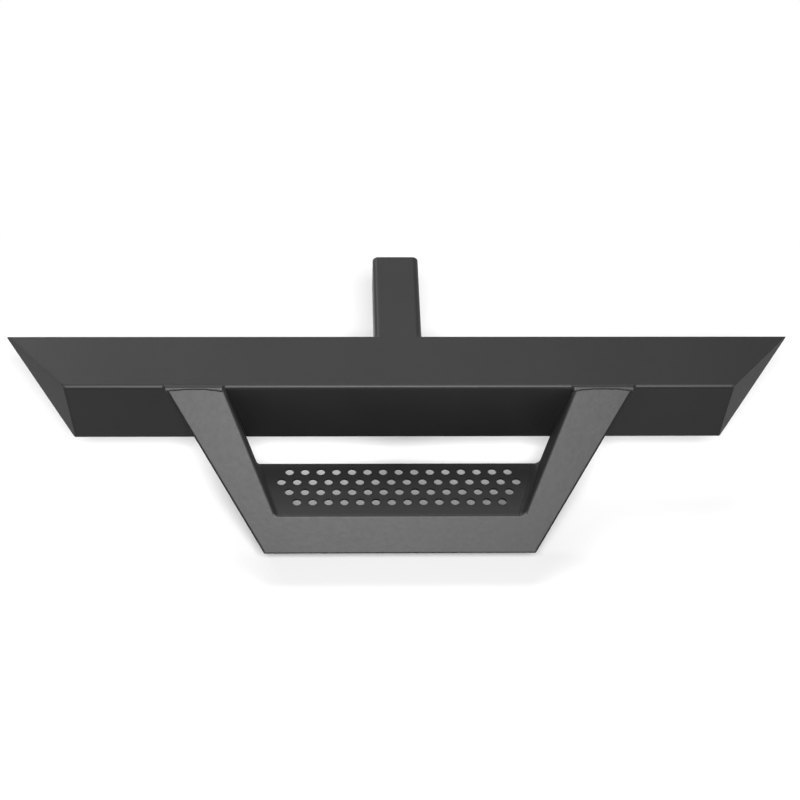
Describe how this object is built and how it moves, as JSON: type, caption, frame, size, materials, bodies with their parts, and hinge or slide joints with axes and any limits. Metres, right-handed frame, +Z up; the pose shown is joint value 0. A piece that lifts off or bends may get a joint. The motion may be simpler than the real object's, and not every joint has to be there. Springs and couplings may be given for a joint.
{
  "type": "hitch bumper step",
  "caption": "Bumper step for a hitch receiver: triangular steel crossbar with angled ends, a sloping welded hoop with a level perforated tread, and a square shank with a pin hole.",
  "frame": {"origin": "centre of the hitch pin hole, on the shank's axis", "axes": "+X along the crossbar and the pin hole, to the right in the picture; +Y along the shank, towards the vehicle; +Z up"},
  "size_m": [0.8382, 0.3298, 0.1615],
  "materials": {
    "coated_steel": "fine textured satin black powder coat"
  },
  "bodies": {
    "root": {"crossbar_skin": "coated_steel", "crossbar_back_plate": "coated_steel", "end_plate_left": "coated_steel", "end_plate_right": "coated_steel", "receiver_shank": "coated_steel", "shank_weld": "coated_steel", "leg_left": "coated_steel", "leg_right": "coated_steel", "leg_weld_left": "coated_steel", "leg_weld_right": "coated_steel", "step_pan": "coated_steel", "tread_weld_left": "coated_steel", "tread_weld_right": "coated_steel"}
  },
  "joints": []
}
